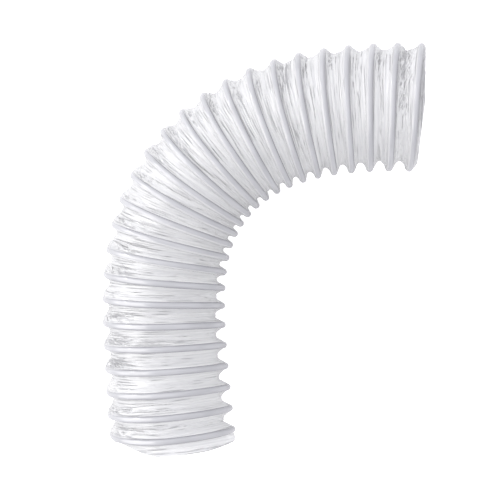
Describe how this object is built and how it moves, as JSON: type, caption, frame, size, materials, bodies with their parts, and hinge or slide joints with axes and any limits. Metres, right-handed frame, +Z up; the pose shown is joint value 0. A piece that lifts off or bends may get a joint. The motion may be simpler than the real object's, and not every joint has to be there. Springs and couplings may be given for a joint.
{
  "type": "flexible air duct",
  "caption": "Flexible air duct: a clear film hose held open by a helical plastic rib, bent through about a right angle; its turns close up, stretch and bend.",
  "frame": {"origin": "centre of the inlet mouth, on the axis of the hose", "axes": "+Y into the hose along the axis of the inlet, +X towards the inside of the bend, where the outlet goes, and +Z up from the floor that the hose lies on"},
  "size_m": [0.3477, 0.3586, 0.1205],
  "materials": {
    "rib": "milky white plastic rod under clear film",
    "film": "clear glossy film with fine wrinkles round the hose"
  },
  "bodies": {
    "turn_01": {"rib_01": "rib", "film_01": "film", "film_inlet": "film", "lip_inlet": "film"},
    "turn_02": {"rib_02": "rib", "film_02": "film"},
    "turn_03": {"rib_03": "rib", "film_03": "film"},
    "turn_04": {"rib_04": "rib", "film_04": "film"},
    "turn_05": {"rib_05": "rib", "film_05": "film"},
    "turn_06": {"rib_06": "rib", "film_06": "film"},
    "turn_07": {"rib_07": "rib", "film_07": "film"},
    "turn_08": {"rib_08": "rib", "film_08": "film"},
    "turn_09": {"rib_09": "rib", "film_09": "film"},
    "turn_10": {"rib_10": "rib", "film_10": "film"},
    "turn_11": {"rib_11": "rib", "film_11": "film"},
    "turn_12": {"rib_12": "rib", "film_12": "film"},
    "turn_13": {"rib_13": "rib", "film_13": "film"},
    "turn_14": {"rib_14": "rib", "film_14": "film"},
    "turn_15": {"rib_15": "rib", "film_15": "film"},
    "turn_16": {"rib_16": "rib", "film_16": "film"},
    "turn_17": {"rib_17": "rib", "film_17": "film"},
    "turn_18": {"rib_18": "rib", "film_18": "film"},
    "turn_19": {"rib_19": "rib", "film_19": "film"},
    "turn_20": {"rib_20": "rib", "film_20": "film"},
    "turn_21": {"rib_21": "rib", "film_21": "film"},
    "turn_22": {"rib_22": "rib", "film_22": "film"},
    "turn_23": {"rib_23": "rib", "film_23": "film"},
    "turn_24": {"rib_24": "rib", "film_24": "film"},
    "turn_25": {"rib_25": "rib", "film_outlet": "film", "lip_outlet": "film"}
  },
  "joints": [
    {"name": "inlet_run_stretch", "type": "slide", "parent": "turn_01", "child": "turn_02", "axis": [0.007, 1, 0], "range_m": [-0.01, 0.0015], "deforming": ["film_01"]},
    {"name": "stretch_02", "type": "slide", "parent": "turn_02", "child": "turn_03", "axis": [0.0209, 0.9998, 0], "range_m": [-0.0101, 0.0016], "deforming": ["film_02"]},
    {"name": "stretch_03", "type": "slide", "parent": "turn_03", "child": "turn_04", "axis": [0.0349, 0.9994, 0], "range_m": [-0.0101, 0.0016], "deforming": ["film_03"]},
    {"name": "stretch_04", "type": "slide", "parent": "turn_04", "child": "turn_05", "axis": [0.0506, 0.9987, 0], "range_m": [-0.0101, 0.0016], "deforming": ["film_04"]},
    {"name": "stretch_05", "type": "slide", "parent": "turn_05", "child": "turn_06", "axis": [0.0728, 0.9973, 0], "range_m": [-0.0101, 0.0016], "deforming": ["film_05"]},
    {"name": "stretch_06", "type": "slide", "parent": "turn_06", "child": "turn_07", "axis": [0.1075, 0.9942, 0], "range_m": [-0.0101, 0.0016], "deforming": ["film_06"]},
    {"name": "bend_07", "type": "hinge", "parent": "turn_07", "child": "turn_08", "pos_m": [-0.01431, 0.15142, 0], "axis": [0, 0, -1], "range_deg": [-3.5, 1.2], "deforming": ["film_07"]},
    {"name": "bend_08", "type": "hinge", "parent": "turn_08", "child": "turn_09", "pos_m": [-0.01025, 0.17254, 0], "axis": [0, 0, -1], "range_deg": [-4.62, 1.59], "deforming": ["film_08"]},
    {"name": "bend_09", "type": "hinge", "parent": "turn_09", "child": "turn_10", "pos_m": [-0.00451, 0.19326, 0], "axis": [0, 0, -1], "range_deg": [-5.68, 1.95], "deforming": ["film_09"]},
    {"name": "bend_10", "type": "hinge", "parent": "turn_10", "child": "turn_11", "pos_m": [0.00325, 0.21331, 0], "axis": [0, 0, -1], "range_deg": [-6.55, 2.25], "deforming": ["film_10"]},
    {"name": "bend_11", "type": "hinge", "parent": "turn_11", "child": "turn_12", "pos_m": [0.01324, 0.23235, 0], "axis": [0, 0, -1], "range_deg": [-7.11, 2.44], "deforming": ["film_11"]},
    {"name": "elbow_lower_bend", "type": "hinge", "parent": "turn_12", "child": "turn_13", "pos_m": [0.02551, 0.25, 0], "axis": [0, 0, -1], "range_deg": [-7.3, 2.5], "deforming": ["film_12"]},
    {"name": "elbow_upper_bend", "type": "hinge", "parent": "turn_13", "child": "turn_14", "pos_m": [0.03992, 0.26595, 0], "axis": [0, 0, -1], "range_deg": [-7.24, 2.48], "deforming": ["film_13"]},
    {"name": "bend_14", "type": "hinge", "parent": "turn_14", "child": "turn_15", "pos_m": [0.05623, 0.27996, 0], "axis": [0, 0, -1], "range_deg": [-7.06, 2.43], "deforming": ["film_14"]},
    {"name": "bend_15", "type": "hinge", "parent": "turn_15", "child": "turn_16", "pos_m": [0.07414, 0.29186, 0], "axis": [0, 0, -1], "range_deg": [-6.76, 2.32], "deforming": ["film_15"]},
    {"name": "bend_16", "type": "hinge", "parent": "turn_16", "child": "turn_17", "pos_m": [0.09332, 0.30158, 0], "axis": [0, 0, -1], "range_deg": [-6.36, 2.18], "deforming": ["film_16"]},
    {"name": "bend_17", "type": "hinge", "parent": "turn_17", "child": "turn_18", "pos_m": [0.11346, 0.30911, 0], "axis": [0, 0, -1], "range_deg": [-5.87, 2.02], "deforming": ["film_17"]},
    {"name": "bend_18", "type": "hinge", "parent": "turn_18", "child": "turn_19", "pos_m": [0.13426, 0.31455, 0], "axis": [0, 0, -1], "range_deg": [-5.3, 1.82], "deforming": ["film_18"]},
    {"name": "bend_19", "type": "hinge", "parent": "turn_19", "child": "turn_20", "pos_m": [0.15547, 0.31805, 0], "axis": [0, 0, -1], "range_deg": [-4.69, 1.61], "deforming": ["film_19"]},
    {"name": "outlet_run_stretch", "type": "slide", "parent": "turn_20", "child": "turn_21", "axis": [0.9989, 0.0463, 0], "range_m": [-0.008, 0.0015], "deforming": ["film_20"]},
    {"name": "stretch_21", "type": "slide", "parent": "turn_21", "child": "turn_22", "axis": [0.9998, -0.0189, 0], "range_m": [-0.0081, 0.0016], "deforming": ["film_21"]},
    {"name": "stretch_22", "type": "slide", "parent": "turn_22", "child": "turn_23", "axis": [0.9973, -0.0731, 0], "range_m": [-0.0081, 0.0016], "deforming": ["film_22"]},
    {"name": "stretch_23", "type": "slide", "parent": "turn_23", "child": "turn_24", "axis": [0.9931, -0.117, 0], "range_m": [-0.0081, 0.0016], "deforming": ["film_23"]},
    {"name": "stretch_24", "type": "slide", "parent": "turn_24", "child": "turn_25", "axis": [0.9885, -0.1515, 0], "range_m": [-0.0081, 0.0016], "deforming": ["film_24"]}
  ],
  "couplings": [
    {"joint": "stretch_02", "follows": "inlet_run_stretch", "ratio": 1},
    {"joint": "stretch_03", "follows": "inlet_run_stretch", "ratio": 1},
    {"joint": "stretch_04", "follows": "inlet_run_stretch", "ratio": 1},
    {"joint": "stretch_05", "follows": "inlet_run_stretch", "ratio": 1},
    {"joint": "stretch_06", "follows": "inlet_run_stretch", "ratio": 1},
    {"joint": "bend_07", "follows": "elbow_lower_bend", "ratio": 0.47749},
    {"joint": "bend_08", "follows": "elbow_lower_bend", "ratio": 0.6321},
    {"joint": "bend_09", "follows": "elbow_lower_bend", "ratio": 0.7774},
    {"joint": "bend_10", "follows": "elbow_lower_bend", "ratio": 0.89584},
    {"joint": "bend_11", "follows": "elbow_lower_bend", "ratio": 0.97315},
    {"joint": "bend_14", "follows": "elbow_upper_bend", "ratio": 0.97445},
    {"joint": "bend_15", "follows": "elbow_upper_bend", "ratio": 0.93295},
    {"joint": "bend_16", "follows": "elbow_upper_bend", "ratio": 0.87711},
    {"joint": "bend_17", "follows": "elbow_upper_bend", "ratio": 0.80906},
    {"joint": "bend_18", "follows": "elbow_upper_bend", "ratio": 0.73142},
    {"joint": "bend_19", "follows": "elbow_upper_bend", "ratio": 0.64719},
    {"joint": "stretch_21", "follows": "outlet_run_stretch", "ratio": 1},
    {"joint": "stretch_22", "follows": "outlet_run_stretch", "ratio": 1},
    {"joint": "stretch_23", "follows": "outlet_run_stretch", "ratio": 1},
    {"joint": "stretch_24", "follows": "outlet_run_stretch", "ratio": 1}
  ]
}
